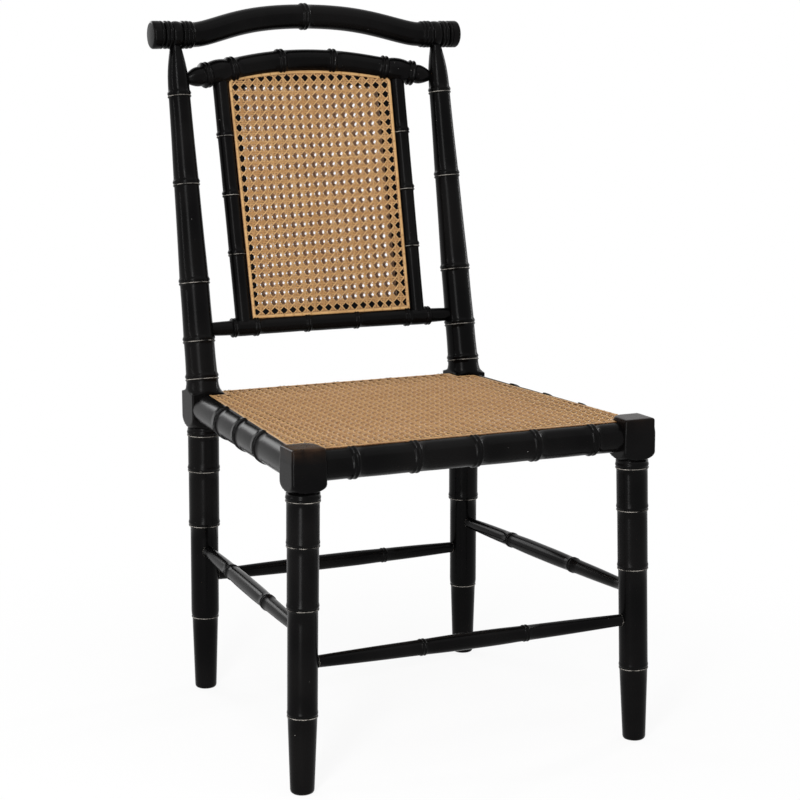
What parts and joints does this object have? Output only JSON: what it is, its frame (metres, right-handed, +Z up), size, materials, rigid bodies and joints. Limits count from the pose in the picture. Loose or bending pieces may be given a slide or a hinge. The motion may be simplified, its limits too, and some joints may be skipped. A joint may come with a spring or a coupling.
{
  "type": "side chair",
  "caption": "Armless dining side chair with a frame turned like bamboo, a woven cane seat and a raked, arched caned back.",
  "frame": {"origin": "on the floor under the middle of the chair's bounding box", "axes": "+Z is up, the sitter faces -Y, and +X is on the right of someone who looks at the chair's front"},
  "size_m": [0.5513, 0.6476, 1.0457],
  "materials": {
    "frame_lacquer": "turned hardwood under satin black lacquer, rubbed through a little at the nodes",
    "cane": "natural woven cane with a honey-coloured satin skin",
    "brace_wood": "plain sawn hardwood, unfinished"
  },
  "bodies": {
    "root": {"front_leg_left": "frame_lacquer", "rear_post_left": "frame_lacquer", "seat_rail_left": "frame_lacquer", "stretcher_left": "frame_lacquer", "back_stile_left": "frame_lacquer", "panel_board_left": "frame_lacquer", "seat_board_left": "frame_lacquer", "corner_brace_front_left": "brace_wood", "corner_brace_rear_left": "brace_wood", "front_leg_right": "frame_lacquer", "rear_post_right": "frame_lacquer", "seat_rail_right": "frame_lacquer", "stretcher_right": "frame_lacquer", "back_stile_right": "frame_lacquer", "panel_board_right": "frame_lacquer", "seat_board_right": "frame_lacquer", "corner_brace_front_right": "brace_wood", "corner_brace_rear_right": "brace_wood", "seat_rail_front": "frame_lacquer", "stretcher_front": "frame_lacquer", "seat_board_front": "frame_lacquer", "back_cane_front": "cane", "back_binding_front": "cane", "seat_rail_rear": "frame_lacquer", "stretcher_rear": "frame_lacquer", "seat_board_rear": "frame_lacquer", "back_cane_rear": "cane", "back_binding_rear": "cane", "crest_rail": "frame_lacquer", "back_top_rail": "frame_lacquer", "back_bottom_rail": "frame_lacquer", "panel_board_top": "frame_lacquer", "panel_board_bottom": "frame_lacquer", "seat_cane": "cane", "seat_binding": "cane"}
  },
  "joints": []
}
